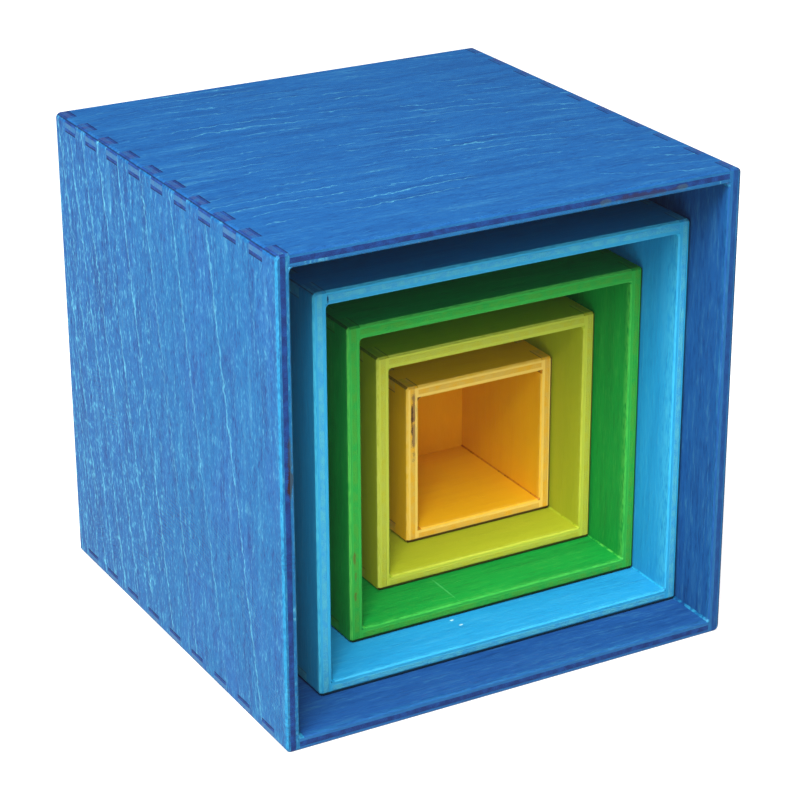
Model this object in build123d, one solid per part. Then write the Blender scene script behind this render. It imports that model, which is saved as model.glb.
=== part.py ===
from build123d import *
import os

# Set of five nesting toy boxes, lying on its side with every mouth towards -Y.
# Each box is a cube of three-ply board: four walls with finger joints at the four
# arrises that run along Y, and a base panel glued in between them at the back.
# The origin is on the ground, under the middle of the largest box.

# Driving dimensions, in millimetres
largest_side = 180.0                     # outside edge of the largest cube
side_step = 29.0                         # how much smaller each next cube is
board = 5.0                              # thickness of the three-ply board
finger_aim = 9.5                         # width that a finger should come near
small_side = 130.0                       # boxes under this have bevelled arrises, not rounded ones
arris_round = 2.0                        # sanded arrises of the large boxes, with the finger joints
arris_bevel = 0.8                        # the same arrises of the small boxes
back_bevel = 1.2                         # outer edges round the base
rim_bevel = 0.7                          # outer edge of the mouth
mouth_bevel = 0.5                        # inner edge of the mouth
side_play = 0.2                          # air between a box and the wall at its right
recesses = (21.0, 21.0, 22.5, 20.5)      # from each mouth back to the next smaller one
colours = ("dark_blue", "light_blue", "green", "lime", "yellow")


def finger_width(side):
    """Width of one finger: an odd number of them fills the side, so the left and
    right walls hold both ends of every joint."""
    pairs = round((side / finger_aim - 1) / 2)
    return side / (2 * pairs + 1)


def shell(side):
    """The box as glued and sanded: mouth at y = 0, standing on z = 0, middle at x = 0."""
    cube = Box(side, side, side, align=(Align.CENTER, Align.MIN, Align.MIN))
    arrises = cube.edges().filter_by(Axis.Y)
    cube = chamfer(arrises, arris_bevel) if side < small_side else fillet(arrises, arris_round)
    cube = chamfer(cube.faces().sort_by(Axis.Y)[-1].edges(), back_bevel)
    cube = chamfer(cube.faces().sort_by(Axis.Y)[0].edges(), rim_bevel)
    clear = side - 2 * board
    hollow = Pos(0, 0, board) * Box(clear, side - board, clear, align=(Align.CENTER, Align.MIN, Align.MIN))
    box = cube - hollow
    rim = box.faces().sort_by(Axis.Y)[0]
    return chamfer(rim.inner_wires()[0].edges(), mouth_bevel)


def notched_sheet(side, first):
    """Outline of a wall laid flat, depth along its first axis: a square with a notch
    for every other finger of the walls that it meets, from finger number first."""
    width = finger_width(side)
    sheet = Rectangle(side, side, align=(Align.MIN, Align.MIN))
    notch = Rectangle(width, board, align=(Align.MIN, Align.MIN))
    for number in range(first, round(side / width), 2):
        for edge in (0, side - board):
            sheet -= Pos(number * width, edge) * notch
    return sheet


def walls(side):
    """The five pieces of one box, each cut from the sanded shell by its own sheet."""
    box = shell(side)
    clear = side - 2 * board
    upright = extrude(Plane.YZ * notched_sheet(side, 1), board)
    # local x runs along the depth and local y across the box
    across = Plane(origin=(side / 2, 0, 0), x_dir=(0, 1, 0), z_dir=(0, 0, 1))
    level = extrude(across * notched_sheet(side, 0), board)
    base = Pos(0, side - board, board) * Box(
        clear, board, clear, align=(Align.CENTER, Align.MIN, Align.MIN))
    sheets = {
        "left_wall": Pos(-side / 2, 0, 0) * upright,
        "right_wall": Pos(side / 2 - board, 0, 0) * upright,
        "top_wall": Pos(0, 0, side - board) * level,
        "floor_wall": level,
        "base_panel": base,
    }
    return {name: (sheet & box).solid() for name, sheet in sheets.items()}


def nest():
    """Side, and place of the mouth's lowest middle point, of each box from the largest in."""
    side, x, y, z = largest_side, 0.0, -largest_side / 2, 0.0
    places = [(side, x, y, z)]
    for recess in recesses:
        inner = side - side_step
        x += side / 2 - board - side_play - inner / 2
        y += recess
        z += board
        side = inner
        places.append((side, x, y, z))
    return places


os.makedirs("parts", exist_ok=True)
for colour, (side, x, y, z) in zip(colours, nest()):
    for name, piece in walls(side).items():
        node = colour + "_" + name
        placed = Pos(x, y, z) * piece
        placed.label = node
        export_step(placed, "parts/" + node + ".step")
        print(node, round(placed.volume, 1))
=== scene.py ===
import bpy
import math
import random
from mathutils import Matrix, Vector


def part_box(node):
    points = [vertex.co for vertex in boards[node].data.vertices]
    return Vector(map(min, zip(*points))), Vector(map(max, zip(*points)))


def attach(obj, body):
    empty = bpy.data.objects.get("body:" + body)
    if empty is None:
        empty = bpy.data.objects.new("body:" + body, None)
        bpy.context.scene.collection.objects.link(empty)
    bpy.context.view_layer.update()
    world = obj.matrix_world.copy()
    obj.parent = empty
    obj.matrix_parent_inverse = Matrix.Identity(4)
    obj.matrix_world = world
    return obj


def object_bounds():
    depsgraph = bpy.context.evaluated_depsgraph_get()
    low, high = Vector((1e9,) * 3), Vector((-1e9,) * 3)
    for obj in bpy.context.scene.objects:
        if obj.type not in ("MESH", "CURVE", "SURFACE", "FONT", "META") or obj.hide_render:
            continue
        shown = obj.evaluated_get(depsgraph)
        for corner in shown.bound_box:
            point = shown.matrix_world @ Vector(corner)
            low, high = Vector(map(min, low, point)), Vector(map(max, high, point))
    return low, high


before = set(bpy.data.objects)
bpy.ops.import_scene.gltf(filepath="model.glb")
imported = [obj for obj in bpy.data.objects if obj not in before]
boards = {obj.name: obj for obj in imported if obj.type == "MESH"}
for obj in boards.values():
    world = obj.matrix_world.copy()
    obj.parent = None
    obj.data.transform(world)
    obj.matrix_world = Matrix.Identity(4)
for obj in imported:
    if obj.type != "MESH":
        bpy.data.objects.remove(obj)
cadLow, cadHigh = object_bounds()

boxNames = ("dark_blue", "light_blue", "green", "lime", "yellow")
axisNumber = {"x": 0, "y": 1, "z": 2}

# how each kind of board lies: the way through it, the side its outer face is on,
# the grain of its two face plies and the grain of its core
boardLay = {
    "left_wall": {"through": "x", "outer": 0, "face": "z", "core": "y"},
    "right_wall": {"through": "x", "outer": 1, "face": "z", "core": "y"},
    "top_wall": {"through": "z", "outer": 1, "face": "x", "core": "y"},
    "floor_wall": {"through": "z", "outer": 0, "face": "x", "core": "y"},
    "base_panel": {"through": "y", "outer": 1, "face": "z", "core": "x"},
}


def tint(red, green, blue):
    # a colour given as it looks on a screen, 0 to 255, turned into light
    def light(c):
        c /= 255.0
        return c / 12.92 if c <= 0.04045 else ((c + 0.055) / 1.055) ** 2.4

    return (light(red), light(green), light(blue), 1.0)


class Bench:
    # one material's node tree, with short words for the nodes a finish needs
    def __init__(self, name):
        self.material = bpy.data.materials.new(name)
        self.material.use_nodes = True
        self.nodes = self.material.node_tree.nodes
        self.links = self.material.node_tree.links
        self.nodes.clear()

    def add(self, kind, inputs=None, **settings):
        node = self.nodes.new("ShaderNode" + kind)
        count = len(self.nodes)
        node.location = (count % 24 * 190, -(count // 24) * 320)
        for key, value in settings.items():
            setattr(node, key, value)
        for key, value in (inputs or {}).items():
            self.feed(node.inputs[key], value)
        return node

    def feed(self, socket, value):
        if isinstance(value, bpy.types.NodeSocket):
            self.links.new(value, socket)
        else:
            socket.default_value = value

    def math(self, operation, *values):
        node = self.add("Math", operation=operation)
        for socket, value in zip(node.inputs, values):
            self.feed(socket, value)
        return node.outputs[0]

    def plus(self, *values):
        total = values[0]
        for value in values[1:]:
            total = self.math("ADD", total, value)
        return total

    def times(self, *values):
        total = values[0]
        for value in values[1:]:
            total = self.math("MULTIPLY", total, value)
        return total

    def step(self, value, start, end, low=0.0, high=1.0):
        # goes smoothly from low to high as value goes from start to end
        node = self.add("MapRange", interpolation_type="SMOOTHSTEP")
        values = (value, start, end, low, high)
        for key, v in zip(("Value", "From Min", "From Max", "To Min", "To Max"), values):
            self.feed(node.inputs[key], v)
        return node.outputs[0]

    def point(self, x, y, z):
        node = self.add("CombineXYZ", {"X": x, "Y": y, "Z": z})
        return node.outputs[0]

    def noise(self, where, size=1.0, detail=1.0, rough=0.5):
        inputs = {"Vector": where, "Scale": size, "Detail": detail, "Roughness": rough}
        return self.add("TexNoise", inputs, noise_dimensions="3D").outputs[0]

    def mix(self, share, first, second):
        # the second colour over the first, by a share; 6, 7 and 2 are the node's colour sockets
        node = self.add("Mix", data_type="RGBA")
        for socket, value in ((0, share), (6, first), (7, second)):
            self.feed(node.inputs[socket], value)
        return node.outputs[2]


# stain colours, as each one looks on a plain board: body is the usual tone, deep the
# dense one, hue a drift of it, pale the early wood, rubbed a worn edge, end the end
# grain, and seamBeside and seamAbove the core's side grain at the fingers' ends, on
# the left and right faces and on the upper and lower ones
stains = {
    "dark_blue": {
        "body": tint(7, 71, 114), "deep": tint(7, 45, 92), "hue": tint(20, 60, 116),
        "pale": tint(74, 142, 160), "rubbed": tint(36, 118, 150), "end": tint(15, 36, 82),
        "seamBeside": tint(44, 78, 110), "seamAbove": tint(38, 48, 92),
    },
    "light_blue": {
        "body": tint(22, 130, 170), "deep": tint(14, 104, 150), "hue": tint(30, 120, 176),
        "pale": tint(90, 180, 198), "rubbed": tint(74, 178, 198), "end": tint(62, 146, 168),
        "seamBeside": tint(59, 150, 172), "seamAbove": tint(40, 120, 150),
    },
    "green": {
        "body": tint(11, 131, 44), "deep": tint(8, 98, 36), "hue": tint(9, 139, 56),
        "pale": tint(92, 190, 80), "rubbed": tint(98, 192, 78), "end": tint(54, 136, 46),
        "seamBeside": tint(60, 152, 64), "seamAbove": tint(36, 118, 44),
    },
    "lime": {
        "body": tint(156, 170, 32), "deep": tint(134, 150, 22), "hue": tint(172, 168, 36),
        "pale": tint(196, 202, 88), "rubbed": tint(206, 212, 98), "end": tint(168, 174, 64),
        "seamBeside": tint(170, 176, 70), "seamAbove": tint(150, 152, 52),
    },
    "yellow": {
        "body": tint(236, 186, 22), "deep": tint(222, 150, 8), "hue": tint(234, 168, 12),
        "pale": tint(240, 204, 90), "rubbed": tint(240, 208, 116), "end": tint(222, 176, 78),
        "seamBeside": tint(214, 180, 84), "seamAbove": tint(196, 160, 66),
    },
}

# how a board looks; lengths are in mm and shares run from 0 to 1
#   first, room, closing: the first pale growth line's place across the board, the room
#       between lines there, and how far on they would close up
#   lean, bend, pivot: the lines' lean and bend along the grain, and where they are level
#   wander, jag, width: how far the lines drift and tear, and how wide they are
#   busyFrom, busyTo: where across the board the figure gets busier
#   lines, fine, breaks: how strong the lines and the finer ones between them are, and
#       how much of them is gaps
#   strands, dark, short: how strong the pale and dark fibres are, and how short
#   streak, sawn: how strong the dense streaks and the saw marks are
#   drift, driftFrom, driftTo, inside: how strong the drifts of the hue are, where across the
#       board they set in, and how much more there is on the inner face, where it is a painted
#       warmth for light bounced about inside the box
#   outerRub, innerRub, rimRub, band, bandReach: wear on the mouth's edges, on its rim
#       and in a band beside it
#   under, beside: painted shade, near black, on the edges by the gap under the box and by the one at its
#       right
#   core: how plainly the end grain shows
usualLook = {
    "first": -86.0, "room": 9.0, "closing": 900.0, "lean": 0.03, "bend": 0.0002,
    "pivot": 40.0, "wander": 7.0, "jag": 1.2, "busyFrom": 60.0, "busyTo": 200.0,
    "width": 0.5, "lines": 0.25, "fine": 0.2, "breaks": 0.54, "strands": 0.2,
    "dark": 0.35, "drift": 0.35, "driftFrom": 190.0, "driftTo": 90.0, "streak": 0.2,
    "sawn": 0.0, "outerRub": 0.4, "innerRub": 0.2, "band": 0.2, "bandReach": 3.0,
    "rimRub": 0.15, "under": 0.0, "shadeBeside": 0.0, "core": 1.0, "short": 0.5, "bounceInside": 0.0,
}
calm = {"lines": 0.06, "fine": 0.0, "strands": 0.08, "dark": 0.16, "streak": 0.12, "drift": 0.3}
looks = {
    "dark_blue_left_wall": {
        "first": -88.0, "room": 36.0, "closing": 215.0, "lean": -0.187, "bend": 0.0,
        "pivot": 90.0, "wander": 1.2, "jag": 2.2, "busyFrom": 50.0, "busyTo": 150.0,
        "width": 0.8, "lines": 0.6, "fine": 0.35, "breaks": 0.38, "strands": 0.75,
        "short": 1.0, "dark": 0.9, "drift": 0.35, "driftFrom": -40.0, "driftTo": 90.0, "streak": 0.4,
        "sawn": 0.7, "outerRub": 0.5, "innerRub": 0.3, "band": 0.35,
    },
    "dark_blue_top_wall": {
        "first": -79.0, "room": 8.6, "closing": 900.0, "lean": 0.0, "bend": 0.0011,
        "pivot": -60.0, "wander": 10.0, "jag": 2.6, "busyFrom": 500.0, "busyTo": 600.0,
        "width": 0.9, "lines": 0.6, "breaks": 0.50, "fine": 0.35, "strands": 0.16, "dark": 0.5,
        "streak": 0.3, "drift": 0.5, "outerRub": 0.0, "band": 0.0, "short": 0.7,
    },
    # the dark blue box's right wall gets painted shade, near black, along the right edge of its rim
    "dark_blue_right_wall": {
        "strands": 0.3, "dark": 0.7, "drift": 0.6, "outerRub": 0.0, "innerRub": 0.0,
        "shadeBeside": 0.5, "core": 0.45,
    },
    "dark_blue_floor_wall": {"strands": 0.25, "dark": 0.5, "drift": 0.8, "outerRub": 0.0, "innerRub": 0.1},
    "light_blue_right_wall": {"band": 0.35, "bandReach": 9.0},
    "green_right_wall": {"band": 0.45, "bandReach": 4.0},
}
# lime and yellow are calm; the yellow box's inner faces, its back panel most, are painted more orange for
# light bounced about inside it
for name, rimRub in (("lime", 0.3), ("yellow", 0.65)):
    for kind in boardLay:
        looks[name + "_" + kind] = dict(calm, rimRub=rimRub, bounceInside=0.2 if name == "yellow" else 0.0)
looks["yellow_base_panel"].update({"bounceInside": 1.0, "strands": 0.0})
# painted shade: the edges that a box stands on or leans by in the next one are painted nearly black, for the
# shade of the narrow gaps there
for name in boxNames[1:]:
    for kind in ("floor_wall", "left_wall", "right_wall"):
        looks.setdefault(name + "_" + kind, {}).update({"under": 0.95, "shadeBeside": 0.8})

# what is not even on the real boards: open places in a core, filler, glue and scratches;
# each has its middle from the board's lowest corner and its half-sizes, in mm, its tone,
# and how much of it shows
marks = {
    "dark_blue_left_wall": (
        {"middle": (3.5, 0.0, 110.0), "reach": (0.8, 2.5, 7.0), "tone": tint(36, 40, 50), "share": 0.8},
        {"middle": (3.5, 0.0, 100.0), "reach": (1.1, 2.5, 6.4), "tone": tint(36, 22, 20), "share": 0.95},
    ),
    "dark_blue_top_wall": (
        {"middle": (140.0, 0.0, 1.8), "reach": (17.0, 2.5, 1.2), "tone": tint(34, 34, 60), "share": 0.75},
        {"middle": (124.5, 0.0, 1.8), "reach": (2.6, 2.5, 1.1), "tone": tint(44, 64, 84), "share": 0.7},
        {"middle": (155.5, 0.0, 1.8), "reach": (2.6, 2.5, 1.1), "tone": tint(44, 66, 86), "share": 0.7},
    ),
    "light_blue_top_wall": (
        {"middle": (5.5, 0.0, 2.1), "reach": (0.35, 3.0, 1.6), "tone": tint(4, 40, 76), "share": 1.0},
    ),
    "light_blue_left_wall": (
        {"middle": (5.3, 0.0, 148.1), "reach": (0.35, 3.0, 1.6), "tone": tint(4, 40, 76), "share": 1.0},
    ),
    "light_blue_floor_wall": (
        {"middle": (64.3, 18.7, 5.0), "reach": (0.8, 0.45, 0.6), "tone": tint(170, 206, 206), "share": 0.8},
        {"middle": (65.6, 14.0, 5.0), "reach": (0.7, 0.35, 0.6), "tone": tint(170, 206, 206), "share": 0.7},
    ),
    "green_left_wall": (
        {"middle": (1.8, 0.0, 34.0), "reach": (0.6, 2.0, 2.6), "tone": tint(84, 72, 26), "share": 0.7},
        {"middle": (2.2, 0.0, 26.0), "reach": (0.5, 2.0, 2.4), "tone": tint(84, 72, 26), "share": 0.5},
        {"middle": (2.0, 0.0, 18.5), "reach": (0.5, 2.0, 1.6), "tone": tint(84, 72, 26), "share": 0.6},
    ),
    "green_floor_wall": (
        {"middle": (45.8, 12.4, 5.0), "reach": (0.35, 10.5, 0.6), "tone": tint(70, 170, 90), "share": 0.55},
    ),
    "yellow_left_wall": (
        {"middle": (3.0, 0.0, 55.5), "reach": (1.25, 2.0, 6.5), "tone": tint(124, 86, 58), "share": 0.8},
        {"middle": (3.1, 0.0, 44.0), "reach": (1.15, 2.0, 8.5), "tone": tint(132, 94, 64), "share": 0.8},
        {"middle": (2.2, 0.0, 52.0), "reach": (0.45, 2.0, 9.5), "tone": tint(74, 44, 34), "share": 0.9},
    ),
}


class BoardBench(Bench):
    # the bench for one three-ply board, with the places and masks that its finish uses
    def __init__(self, boxName, kind, number):
        super().__init__(boxName + "_" + kind + "_stain_and_wax")
        self.boxName, self.board = boxName, boxName + "_" + kind
        self.lay, self.seed = boardLay[kind], number * 13.7
        self.low, self.high = (corner * 1000 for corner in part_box(self.board))
        place = self.add("TexCoord")
        self.mm = self.scaled(place.outputs["Object"], 1000.0, 1000.0, 1000.0)
        self.xyz = self.add("SeparateXYZ", {0: self.mm}).outputs
        self.turn = self.add("SeparateXYZ", {0: place.outputs["Normal"]}).outputs
        self.bare = [self.math("ABSOLUTE", self.turn[n]) for n in range(3)]
        # u runs along the face plies' grain, v across it, and depth in from the outer face
        through, self.along = axisNumber[self.lay["through"]], axisNumber[self.lay["face"]]
        across = 3 - through - self.along
        self.u, self.v = self.xyz[self.along], self.xyz[across]
        outerFace = (self.high if self.lay["outer"] else self.low)[through]
        self.depth = self.math("ABSOLUTE", self.math("SUBTRACT", self.xyz[through], outerFace))
        self.outward = self.times(self.turn[through], 1.0 if self.lay["outer"] else -1.0)
        self.findPlies()

    def scaled(self, where, x, y, z):
        return self.add("VectorMath", {0: where, 1: (x, y, z)}, operation="MULTIPLY").outputs[0]

    def grain(self, size, detail=2.0, rough=0.5, short=1.0):
        # noise drawn out along the grain, by how often it changes per mm each way
        across, along, through = size
        return self.noise(self.scaled(self.torn, across, along * short, through), 1.0, detail, rough)

    def slow(self, across, along, third):
        # a point that moves slowly over the board's face, for broad noise
        return self.point(self.times(self.v, across), self.times(self.u, along), third)

    def findPlies(self):
        # which ply a point is in, and where end grain shows
        ply = {
            "veneer": 1.5, "core": 3.45, "softness": 0.12, "unevenness": 0.3, "waves": 0.12,
            "faceEnd": (0.60, 0.85), "coreEnd": (0.30, 0.75),  # how far a face turns to be end grain
        }
        uneven = self.noise(self.slow(ply["waves"], ply["waves"], self.seed))
        plain = self.math("MULTIPLY_ADD", uneven, ply["unevenness"], -ply["unevenness"] / 2)
        plyDepth, soft = self.plus(self.depth, plain), ply["softness"]
        pastVeneer = self.step(plyDepth, ply["veneer"] - soft, ply["veneer"] + soft)
        self.pastCore = self.step(plyDepth, ply["core"] - soft, ply["core"] + soft)
        self.inCore = self.math("SUBTRACT", pastVeneer, self.pastCore)
        self.faceEnd = self.step(self.bare[self.along], *ply["faceEnd"])
        self.coreEnd = self.step(self.bare[axisNumber[self.lay["core"]]], *ply["coreEnd"])
        difference = self.math("SUBTRACT", self.coreEnd, self.faceEnd)
        self.endGrain = self.plus(self.faceEnd, self.times(self.inCore, difference))

    def tear(self, look):
        # the grain's own places: v torn sideways a little, so that fibres run ragged
        tearing = {"across": 0.3, "along": 0.22, "share": 0.9}
        rag = self.noise(self.slow(tearing["across"], tearing["along"], self.seed), 1.0, 2.0)
        v = self.plus(self.v, self.times(self.math("SUBTRACT", rag, 0.5), look["jag"] * tearing["share"]))
        self.torn = self.point(v, self.u, self.plus(self.depth, self.seed))


def growthRings(b, look):
    # counts the growth lines across a board, closer and closer towards its far side
    log = {
        "otherSheet": 47.0, "sheetShift": 0.6,  # the inner veneer comes from another place in the log
        "wideAcross": 0.02, "wideAlong": 0.011, "smallAcross": 0.25, "smallAlong": 0.19,
        "quiet": 0.25, "closest": 0.94,
    }
    lean = b.math("SUBTRACT", b.u, look["pivot"])
    bend = b.times(lean, lean, look["bend"])
    sheet = b.times(b.pastCore, log["otherSheet"])
    place = b.plus(sheet, b.seed)
    wide = b.noise(b.slow(log["wideAcross"], log["wideAlong"], place))
    small = b.noise(b.slow(log["smallAcross"], log["smallAlong"], place), 1.0, 2.0, 0.6)
    shifted = b.plus(b.v, b.times(lean, look["lean"]), bend, b.times(sheet, log["sheetShift"]))
    shifted = b.plus(shifted, b.math("MULTIPLY_ADD", wide, look["wander"] * 2, -look["wander"]))
    far = b.math("SUBTRACT", shifted, look["first"])
    b.busy = b.step(far, look["busyFrom"], look["busyTo"], log["quiet"], 1.0)
    torn = b.times(b.math("SUBTRACT", small, 0.5), look["jag"] * 2)
    b.far = b.math("MINIMUM", b.plus(far, torn), look["closing"] * log["closest"])
    left = b.math("SUBTRACT", 1.0, b.math("DIVIDE", b.far, look["closing"]))
    rings = b.times(b.math("LOGARITHM", left, math.e), -look["closing"] / look["room"])
    return rings, b.times(left, look["room"])


def growthLines(b, rings, room, width, breaks, way):
    # thin pale lines with gaps, and the soft darker band that lies behind each
    line = {"gapsAlong": 0.03, "shadeReach": 7.0, "faintest": 0.4}
    share = b.math("FRACT", b.math("ADD", rings, 400.0))  # kept above zero
    index = b.math("FLOOR", rings)
    after, before = b.times(share, room), b.times(b.math("SUBTRACT", 1.0, share), room)
    where = b.point(b.times(b.u, line["gapsAlong"]), b.times(index, 3.7), b.seed + way)
    gaps = b.noise(where, 1.0, 3.0, 0.65)
    shown = b.step(gaps, breaks - 0.06, breaks + 0.12)
    broad = b.times(b.step(gaps, breaks, breaks + 0.3, 0.5, 1.6), width)
    thin = b.math("MAXIMUM", *(b.step(away, 0.0, broad, 1.0, 0.0) for away in (after, before)))
    lot = b.add("TexWhiteNoise", {"W": b.plus(index, b.seed + way)}, noise_dimensions="1D").outputs[0]
    lines = b.times(thin, shown, b.math("MULTIPLY_ADD", lot, 1.0 - line["faintest"], line["faintest"]))
    return lines, b.times(b.step(after, 0.3, line["shadeReach"], 1.0, 0.0), shown)


def sawMarks(b):
    # faint arcs that a round blade left across the grain, where the sanding missed them
    saw = {"radius": 150.0, "pitch": 1.5, "goneFrom": 60.0, "goneTo": 110.0}  # mm
    along = b.plus(b.u, saw["radius"])
    away = b.math("SQRT", b.plus(b.times(b.v, b.v), b.times(along, along)))
    wave = b.math("SINE", b.times(away, math.tau / saw["pitch"]))
    where = b.noise(b.slow(0.035, 0.03, b.seed + 5.0), 1.0, 2.0)
    low = b.step(b.u, saw["goneTo"], saw["goneFrom"])
    return b.times(b.step(wave, 0.1, 0.9), b.step(where, 0.52, 0.66), low)


def stainedWood(b, look, stain):
    # the stain on the open faces: drifts, dense streaks, dark and pale fibres, growth lines
    figure = {  # how often each changes per mm: across the grain, along it and through it
        "strand": (0.5, 0.08, 0.6), "fibre": (1.0, 0.24, 1.2), "dash": (1.9, 0.55, 1.9),
        "cloud": (0.05, 0.022, 0.3), "streak": (0.2, 0.02, 0.8),
    }
    share = {"shade": 0.18, "sawn": 0.4, "paleStreak": 0.4, "mostPale": 0.9}
    b.tear(look)
    rings, room = growthRings(b, look)
    mainLines, shade = growthLines(b, rings, room, look["width"], look["breaks"], 2.0)
    fineLines, _ = growthLines(b, b.times(rings, 3.0), b.times(room, 1 / 3), look["width"] * 0.6, 0.5, 9.0)
    strand = b.grain(figure["strand"], short=look["short"])
    fibre = b.grain(figure["fibre"], 2.0, 0.6, look["short"])
    dash = b.grain(figure["dash"], 1.0, short=look["short"])
    cloud = b.grain(figure["cloud"], 3.0)
    streak = b.grain(figure["streak"])
    ragged = b.plus(b.times(strand, 0.3), b.times(fibre, 0.4), b.times(dash, 0.3))
    paleStrand, darkStrand = b.step(ragged, 0.50, 0.68), b.step(ragged, 0.50, 0.34)
    mainLines = b.times(mainLines, b.step(dash, 0.3, 0.6, 0.4, 1.0), b.step(b.far, 8.0, 16.0))
    sawn = sawMarks(b) if look["sawn"] else 0.0

    drift = b.math("MAXIMUM", b.step(b.v, look["driftFrom"], look["driftTo"]), b.step(cloud, 0.42, 0.66))
    # more of the hue on the inner faces: a painted warmth for light bounced about inside the box
    drift = b.plus(b.times(drift, look["drift"]), b.times(b.pastCore, look["bounceInside"]))
    colour = b.mix(b.math("MINIMUM", drift, 1.0), stain["body"], stain["hue"])
    dense = b.plus(
        b.times(darkStrand, look["dark"]), b.times(b.step(streak, 0.52, 0.30), look["streak"]),
        b.times(shade, share["shade"]), b.times(sawn, look["sawn"] * share["sawn"]),
    )
    colour = b.mix(b.math("MINIMUM", dense, 1.0), colour, stain["deep"])
    strands = b.times(paleStrand, b.math("MULTIPLY_ADD", b.busy, 0.6, 0.4), look["strands"])
    pale = b.plus(
        b.times(mainLines, look["lines"]), b.times(fineLines, b.busy, look["fine"]), strands,
        b.times(b.step(streak, 0.58, 0.8), look["streak"] * share["paleStreak"]),
    )
    colour = b.mix(b.math("MINIMUM", pale, share["mostPale"]), colour, stain["pale"])
    relief = b.plus(b.times(ragged, 0.7), b.times(dash, 0.3), b.times(mainLines, 0.3))
    if look["sawn"]:
        relief = b.plus(relief, b.times(sawn, look["sawn"] * -0.5))
    return colour, ragged, dash, relief


def dulled(colour, share):
    return tuple(c * share for c in colour)


def stainedPlies(b, colour, look, stain):
    # the plies' edges: blotched end grain, plainer side grain, and the joints' dark glue
    edge = {"pores": 2.2, "blotches": 0.32, "jointFrom": 4.3, "jointTo": 4.8, "joint": 0.75}
    b.pores = b.noise(b.scaled(b.mm, *(edge["pores"],) * 3), 1.0, 1.0)
    b.blotch = b.noise(b.scaled(b.mm, *(edge["blotches"],) * 3), 1.0, 1.0)
    mottle = b.plus(b.times(b.pores, 0.35), b.times(b.blotch, 0.65))
    endTone = b.mix(b.step(mottle, 0.36, 0.70, 0.0, 0.7), stain["end"], stain["hue"])
    seam = stain["seamAbove" if b.lay["through"] == "x" else "seamBeside"]
    seamTone = b.mix(b.step(mottle, 0.32, 0.68, 0.1, 0.75), seam, stain["body"])
    colour = b.mix(b.times(b.inCore, b.math("SUBTRACT", 1.0, b.coreEnd)), colour, seamTone)
    colour = b.mix(b.times(b.endGrain, look["core"]), colour, endTone)
    joint = b.times(b.faceEnd, b.step(b.depth, edge["jointFrom"], edge["jointTo"]))
    return b.mix(b.times(joint, edge["joint"]), colour, dulled(stain["end"], 0.35))


def markedPlaces(b, colour):
    # the uneven places of this board, each a ragged spot
    for mark in marks.get(b.board, ()):
        middle = b.low + Vector(mark["middle"])
        away = b.add("VectorMath", {0: b.mm, 1: middle}, operation="SUBTRACT").outputs[0]
        away = b.add("VectorMath", {0: away, 1: mark["reach"]}, operation="DIVIDE").outputs[0]
        away = b.add("VectorMath", {0: away}, operation="LENGTH").outputs["Value"]
        away = b.plus(away, b.times(b.math("SUBTRACT", b.blotch, 0.5), 1.6))
        away = b.plus(away, b.times(b.math("SUBTRACT", b.pores, 0.5), 0.8))
        colour = b.mix(b.step(away, 1.15, 0.6, 0.0, mark["share"]), colour, mark["tone"])
    return colour


def wornEdges(b, colour, look, stain, dash):
    # a dark line along each long arris, and the mouth's edges rubbed paler
    arris = b.step(b.math("MINIMUM", b.bare[0], b.bare[2]), 0.56, 0.68)
    line = b.times(arris, b.step(dash, 0.25, 0.6, 0.95, 0.7))
    colour = b.mix(line, colour, dulled(stain["end"], 0.25))
    if b.lay["through"] == "y":
        return colour
    sideGrain = b.math("SUBTRACT", 1.0, b.endGrain)
    facing = b.step(b.bare[1], 0.15, 0.5)
    worn = b.step(b.plus(b.times(dash, 0.6), b.times(b.blotch, 0.4)), 0.30, 0.62, 0.5, 1.3)
    outerEdge = b.times(facing, b.step(b.outward, 0.15, 0.5), look["outerRub"], worn)
    innerEdge = b.times(facing, b.step(b.outward, -0.15, -0.5), look["innerRub"], worn)
    away = b.step(b.math("SUBTRACT", b.xyz[1], b.low[1]), 0.3, look["bandReach"])
    patches = b.step(b.plus(dash, b.times(b.blotch, 0.6)), 0.55, 0.95)
    band = b.times(b.math("SUBTRACT", 1.0, away), b.math("SUBTRACT", 1.0, facing), patches, look["band"])
    rim = b.times(b.step(b.bare[1], 0.8, 0.95), look["rimRub"])
    rubbed = b.times(b.plus(outerEdge, innerEdge, band, rim), sideGrain)
    return b.mix(b.math("MINIMUM", rubbed, 1.0), colour, stain["rubbed"])


def paintedGapShade(b, colour, look, stain):
    # painted shade: the shade of the narrow gap under a box and at its right, painted nearly black on the
    # edges beside the gap
    reach = {"under": 1.35, "shadeBeside": 1.0, "arris": 0.8}  # mm
    if b.lay["through"] == "y":
        return colour
    gapShadeTone = dulled(stain["deep"], 0.05)
    facing = b.step(b.bare[1], 0.4, 0.7)

    def within(distance, limit):
        return b.step(distance, limit + 0.15, limit - 0.2)

    if look["under"]:
        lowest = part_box(b.boxName + "_left_wall")[0].z * 1000
        height = b.math("SUBTRACT", b.xyz[2], lowest)
        arris = b.step(height, reach["arris"] + 0.15, reach["arris"] - 0.15)
        low = b.math("MAXIMUM", b.times(within(height, reach["under"]), facing), arris)
        downward = b.step(b.turn[2], -0.75, -0.95)
        low = b.times(low, b.math("SUBTRACT", 1.0, downward))
        colour = b.mix(b.times(low, look["under"]), colour, gapShadeTone)
    if look["shadeBeside"]:
        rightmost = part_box(b.boxName + "_right_wall")[1].x * 1000
        right = within(b.math("SUBTRACT", rightmost, b.xyz[0]), reach["shadeBeside"])
        colour = b.mix(b.times(right, facing, look["shadeBeside"]), colour, gapShadeTone)
    return colour


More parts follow.
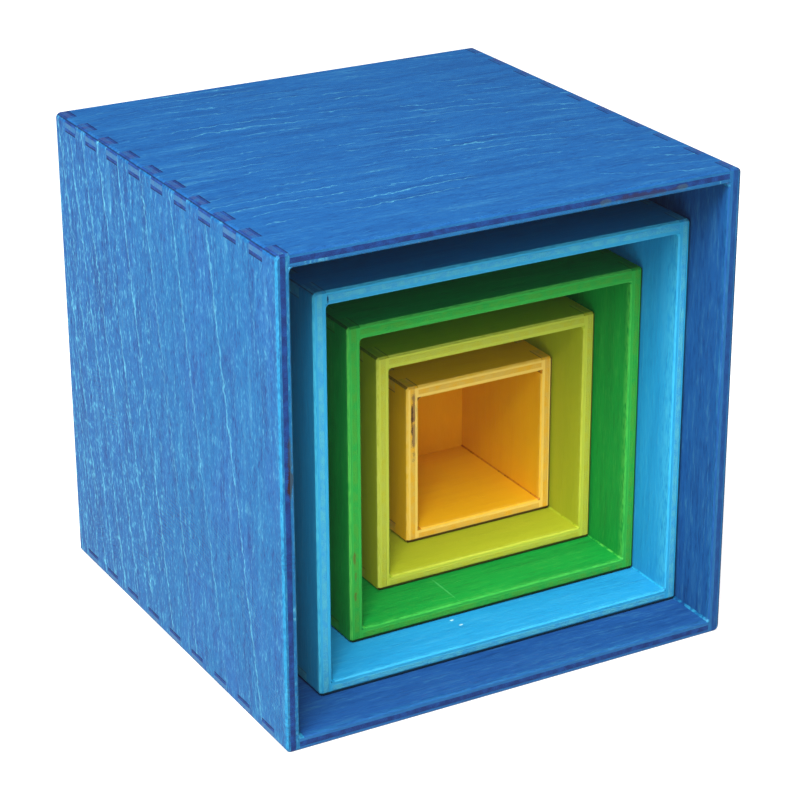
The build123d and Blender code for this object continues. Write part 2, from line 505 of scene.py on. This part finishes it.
def stainedBoard(boxName, kind, number):
    # the finish of one three-ply board: grain, plies at its edges, stain and wax, painted shade by the gaps
    # and a faint painted glow
    wax = {
        "specular": 0.08, "paintedGlow": 0.005, "rough": 0.52, "fibreRough": 0.16, "endRough": 0.16,
        "relief": 0.9, "deep": 0.00026, "pores": 0.8,
    }
    b = BoardBench(boxName, kind, number)
    rnd = random.Random(4100 + number)
    look, stain = dict(usualLook), stains[boxName]
    look["first"] += rnd.uniform(-5, 5)
    look["lean"] *= rnd.uniform(-1.5, 1.5)
    look.update(looks.get(b.board, {}))
    colour, ragged, dash, relief = stainedWood(b, look, stain)
    colour = stainedPlies(b, colour, look, stain)
    colour = markedPlaces(b, colour)
    colour = wornEdges(b, colour, look, stain, dash)
    colour = paintedGapShade(b, colour, look, stain)
    rough = b.plus(wax["rough"], b.times(ragged, wax["fibreRough"]), b.times(b.endGrain, wax["endRough"]))
    height = b.plus(relief, b.times(b.pores, b.endGrain, wax["pores"]))
    bump = b.add("Bump", {"Height": height, "Strength": wax["relief"], "Distance": wax["deep"]})
    # the wood also glows a little white: painted light that lifts its deepest shade
    wood = b.add("BsdfPrincipled", {
        "Base Color": colour, "Roughness": rough, "Normal": bump.outputs[0],
        "Specular IOR Level": wax["specular"], "Emission Color": (1.0, 1.0, 1.0, 1.0),
        "Emission Strength": wax["paintedGlow"],
    })
    b.add("OutputMaterial", {"Surface": wood.outputs[0]})
    return b.material


number = 0
for boxName in boxNames:
    for kind in boardLay:
        board = boards[boxName + "_" + kind]
        finish = stainedBoard(boxName, kind, number)
        board.data.materials.clear()
        board.data.materials.append(finish)
        number += 1
print("finishes:", number, "stained boards")


def glueFinish(boxName, number):
    # dried glue under the stain: smoother than the wood, and paler where it lies thick
    glue = {
        "pale": {"dark_blue": 0.7, "green": 0.5}.get(boxName, 0.1),
        "patch": 0.30, "grit": 2.2, "rough": 0.40, "gritRough": 0.25, "relief": 0.5, "deep": 0.0003,
    }
    stain = dict(stains[boxName])
    if boxName == "yellow":
        stain["body"], stain["deep"] = tint(196, 122, 14), tint(120, 66, 10)
    b = Bench(boxName + "_stained_glue")
    place = b.add("TexCoord").outputs["Object"]
    mm = b.add("VectorMath", {0: place, 1: (1000.0,) * 3}, operation="MULTIPLY").outputs[0]
    shifted = b.add("VectorMath", {0: mm, 1: (number * 7.0,) * 3}, operation="ADD").outputs[0]
    patches = b.noise(shifted, glue["patch"], 3.0, 0.6)
    grit = b.noise(mm, glue["grit"], 2.0)
    colour = b.mix(b.step(patches, 0.42, 0.62, 0.0, glue["pale"]), stain["body"], stain["rubbed"])
    colour = b.mix(b.step(patches, 0.46, 0.34, 0.0, 0.9), colour, stain["deep"])
    height = b.plus(b.times(patches, 0.7), b.times(grit, 0.3))
    bump = b.add("Bump", {"Height": height, "Strength": glue["relief"], "Distance": glue["deep"]})
    dried = b.add("BsdfPrincipled", {
        "Base Color": colour, "Roughness": b.plus(glue["rough"], b.times(grit, glue["gritRough"])),
        "Normal": bump.outputs[0], "Specular IOR Level": 0.2,
    })
    b.add("OutputMaterial", {"Surface": dried.outputs[0]})
    return b.material


def glueFillets(boxName, number):
    # the glue that squeezed out along a box's four long inner corners, wiped to a hollow fillet
    fillet = {
        "radius": {"dark_blue": 2.1}.get(boxName, 1.6),  # mm, in a corner that nothing lies in
        "tight": {"dark_blue": 1.2}.get(boxName, 0.85),  # where the next box lies
        "uneven": 0.22, "step": 3.0, "turns": 6, "sunk": 0.06, "start": 0.03, "mouthBevel": 0.5,
    }
    inner = {side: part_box(boxName + "_" + side) for side in boardLay}
    left, right = inner["left_wall"][1].x * 1000, inner["right_wall"][0].x * 1000
    low, high = inner["floor_wall"][1].z * 1000, inner["top_wall"][0].z * 1000
    mouth, back = inner["floor_wall"][0].y * 1000, inner["base_panel"][0].y * 1000
    rnd = random.Random(900 + number)
    verts, faces = [], []
    corners = ((left, low, 1, 1), (right, low, -1, 1), (right, high, -1, -1), (left, high, 1, -1))
    for x, z, wayX, wayZ in corners:
        tight = (wayX, wayZ) == (-1, 1)
        size = fillet["tight"] if tight else fillet["radius"]
        count = int((back - mouth) / fillet["step"])
        swell = [rnd.uniform(-1, 1) for _ in range(count + 4)]
        rings = []
        stations = [fillet["start"]] + [fillet["mouthBevel"] + fillet["step"] * n for n in range(count)]
        for n, along in enumerate(stations + [back - mouth]):
            sunk = fillet["sunk"] + max(0.0, fillet["mouthBevel"] - along)
            drift = (swell[n] + swell[n + 1] + swell[n + 2]) / 3 * fillet["uneven"]
            radius = size * (1 - abs(drift)) if tight else size * (1 + drift)
            reach = radius + sunk
            ring = [(-sunk, -sunk)]
            for k in range(fillet["turns"] + 1):
                a = math.pi / 2 * k / fillet["turns"]
                ring.append((reach * (1 - math.sin(a)) - sunk, reach * (1 - math.cos(a)) - sunk))
            start = len(verts)
            verts += [((x + wayX * p) / 1000, (mouth + along) / 1000, (z + wayZ * q) / 1000) for p, q in ring]
            rings.append(range(start, start + len(ring)))
        flip = wayX * wayZ > 0
        for one, two in zip(rings, rings[1:]):
            for k in range(len(one)):
                m = (k + 1) % len(one)
                face = (one[k], one[m], two[m], two[k])
                faces.append(face if flip else face[::-1])
        ends = (tuple(rings[0]), tuple(rings[-1])[::-1])
        faces += [end[::-1] if flip else end for end in ends]
    mesh = bpy.data.meshes.new(boxName + "_glue_fillets")
    mesh.from_pydata(verts, [], faces)
    mesh.validate()
    mesh.shade_smooth()
    mesh.materials.append(glueFinish(boxName, number))
    glue = bpy.data.objects.new(boxName + "_glue_fillets", mesh)
    bpy.context.scene.collection.objects.link(glue)
    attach(glue, boxName + "_box")


for number, boxName in enumerate(boxNames):
    glueFillets(boxName, number)
print("glue: fillets in", len(boxNames), "boxes")


def layFloor():
    # a round sheet of white paper, which glows enough to hide its edge and the shadows on it
    look = {
        "reach": 7.0, "sides": 48, "rough": 0.6, "glow": 0.72, "mottle": 0.02,
        "tone": (0.42, 0.42, 0.42, 1.0), "spots": (0.38, 0.38, 0.38, 1.0),
    }
    mesh = bpy.data.meshes.new("studio_floor")
    turns = [n / look["sides"] * math.tau for n in range(look["sides"])]
    ring = [(look["reach"] * math.cos(a), look["reach"] * math.sin(a), cadLow.z) for a in turns]
    mesh.from_pydata(ring, [], [list(range(look["sides"]))])
    floor = bpy.data.objects.new("studio_floor", mesh)
    bpy.context.scene.collection.objects.link(floor)
    b = Bench("studio_paper")
    spots = b.noise(b.add("TexCoord").outputs["Object"], 60.0, 3.0)
    tone = b.mix(b.times(spots, look["mottle"] * 2), look["tone"], look["spots"])
    bump = b.add("Bump", {"Height": spots, "Strength": 0.1, "Distance": 0.0002})
    paper = b.add("BsdfPrincipled", {
        "Base Color": tone, "Roughness": look["rough"], "Normal": bump.outputs[0],
        "Specular IOR Level": 0.1, "Emission Color": (1.0, 1.0, 1.0, 1.0),
        "Emission Strength": look["glow"],
    })
    b.add("OutputMaterial", {"Surface": paper.outputs[0]})
    mesh.materials.append(b.material)


def lookBack(azimuth, elevation):
    # the way from the object to something that stands at this angle from it
    a, e = math.radians(azimuth), math.radians(elevation)
    return Vector((math.sin(a) * math.cos(e), -math.cos(a) * math.cos(e), math.sin(e)))


def lightStudio():
    # softboxes, by where they stand from the middle of the object
    softboxes = {
        "key_softbox": {"azimuth": -42, "elevation": 52, "distance": 1.5, "width": 0.7, "power": 51},
        "side_softbox": {"azimuth": -88, "elevation": 24, "distance": 1.6, "width": 0.9, "power": 35},
        "top_softbox": {"azimuth": -30, "elevation": 78, "distance": 1.5, "width": 0.9, "power": 10},
        "front_softbox": {"azimuth": -25, "elevation": 24, "distance": 1.6, "width": 0.9, "power": 6},
    }
    middle = (cadLow + cadHigh) / 2
    for name, box in softboxes.items():
        lamp = bpy.data.lights.new(name, "AREA")
        lamp.shape, lamp.size, lamp.energy = "SQUARE", box["width"], box["power"]
        light = bpy.data.objects.new(name, lamp)
        way = lookBack(box["azimuth"], box["elevation"])
        light.location = middle + way * box["distance"]
        light.rotation_euler = way.to_track_quat("Z", "Y").to_euler()
        bpy.context.scene.collection.objects.link(light)
    room = {"seen": 1.0, "light": 0.23}  # the white that shows behind, and the light the room gives
    world = bpy.data.worlds.new("studio")
    bpy.context.scene.world = world
    world.use_nodes = True
    nodes, links = world.node_tree.nodes, world.node_tree.links
    background = nodes["Background"]
    background.inputs[0].default_value = (1.0, 1.0, 1.0, 1.0)
    ray, strength = nodes.new("ShaderNodeLightPath"), nodes.new("ShaderNodeMapRange")
    strength.inputs["To Min"].default_value = room["light"]
    strength.inputs["To Max"].default_value = room["seen"]
    links.new(ray.outputs["Is Camera Ray"], strength.inputs["Value"])
    links.new(strength.outputs[0], background.inputs[1])


def placeCamera():
    shot = {  # degrees, metres and millimetres of lens; aimHeight is a share of the object's height
        "azimuth": -29.294, "elevation": 23.080, "roll": -0.226, "distance": 0.8576,
        "lens": 117.067, "aimRight": -0.0454, "aimHeight": 0.6756,
    }
    data = bpy.data.cameras.new("camera")
    data.sensor_width, data.lens = 36.0, shot["lens"]
    data.clip_start, data.clip_end = 0.05, 40.0
    camera = bpy.data.objects.new("camera", data)
    bpy.context.scene.collection.objects.link(camera)
    back = lookBack(shot["azimuth"], shot["elevation"])
    azimuth, turn = math.radians(shot["azimuth"]), math.radians(shot["roll"])
    level = Vector((math.cos(azimuth), math.sin(azimuth), 0.0))
    upright = back.cross(level)
    right = level * math.cos(turn) + upright * math.sin(turn)
    up = upright * math.cos(turn) - level * math.sin(turn)
    middle = (cadLow.x + cadHigh.x) / 2
    aim = Vector((middle + shot["aimRight"], cadLow.y, cadHigh.z * shot["aimHeight"]))
    spot = aim + back * shot["distance"]
    camera.matrix_world = Matrix.Translation(spot) @ Matrix((right, up, back)).transposed().to_4x4()
    bpy.context.scene.camera = camera


layFloor()
lightStudio()
placeCamera()
bpy.context.scene.view_settings.view_transform = "Standard"
print("stage: floor, softboxes and camera")
